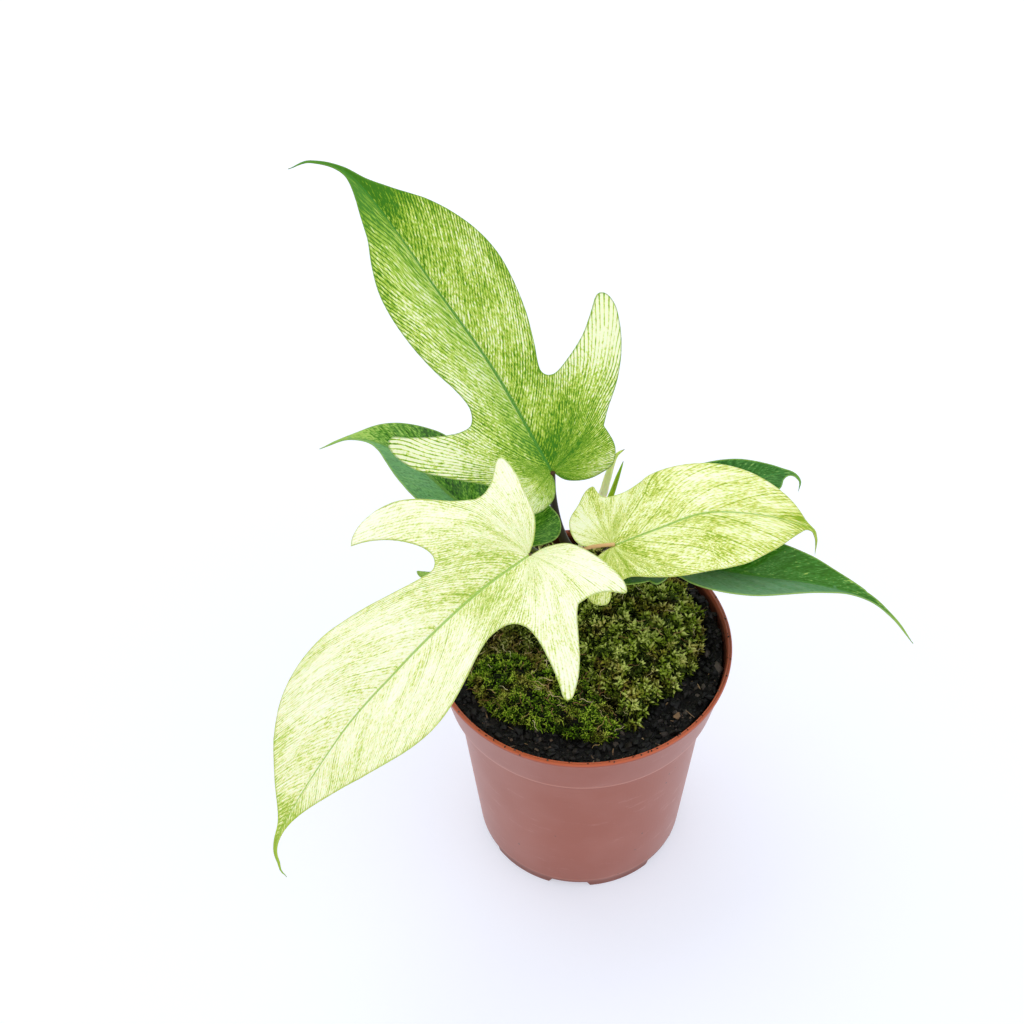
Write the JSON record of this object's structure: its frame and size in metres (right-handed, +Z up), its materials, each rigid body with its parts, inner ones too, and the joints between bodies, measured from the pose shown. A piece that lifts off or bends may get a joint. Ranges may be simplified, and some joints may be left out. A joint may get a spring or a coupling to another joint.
{
  "type": "potted florida ghost philodendron",
  "caption": "Young philodendron with deeply lobed pale leaves on thin stalks, standing in moss-covered soil in a round tapered nursery pot.",
  "frame": {"origin": "in the plane the pot stands on, under the middle of the whole part; the pot's axis is 7 mm from it, towards -X", "axes": "+Z up along the pot's axis; +Y away from the viewer of the picture; +X to their right"},
  "size_m": [0.2444, 0.2421, 0.2652],
  "materials": {
    "pot": "satin",
    "soil": "matte",
    "moss_olive": "matte",
    "moss_green": "matte",
    "moss_dull": "matte",
    "stem": "satin",
    "petiole": "satin",
    "petiole_pink": "satin",
    "petiole_red": "satin",
    "blade_mottled": "satin",
    "blade_cream": "satin",
    "blade_lime": "satin",
    "blade_dark": "satin",
    "new_leaf": "satin",
    "cataphyll": "satin"
  },
  "bodies": {
    "root": {"pot": "pot", "soil": "soil", "moss_cushion_olive": "moss_olive", "moss_cushion_green": "moss_green", "moss_cushion_dull": "moss_dull", "stem": "stem", "petiole_a": "petiole", "petiole_b": "petiole", "petiole_c": "petiole_pink", "petiole_d": "petiole", "petiole_e": "petiole_red", "petiole_f": "petiole_red", "blade_a": "blade_mottled", "blade_b": "blade_cream", "blade_c": "blade_lime", "blade_d": "blade_dark", "blade_e": "blade_dark", "blade_f": "blade_dark", "new_leaf": "new_leaf", "cataphyll": "cataphyll"}
  },
  "joints": []
}
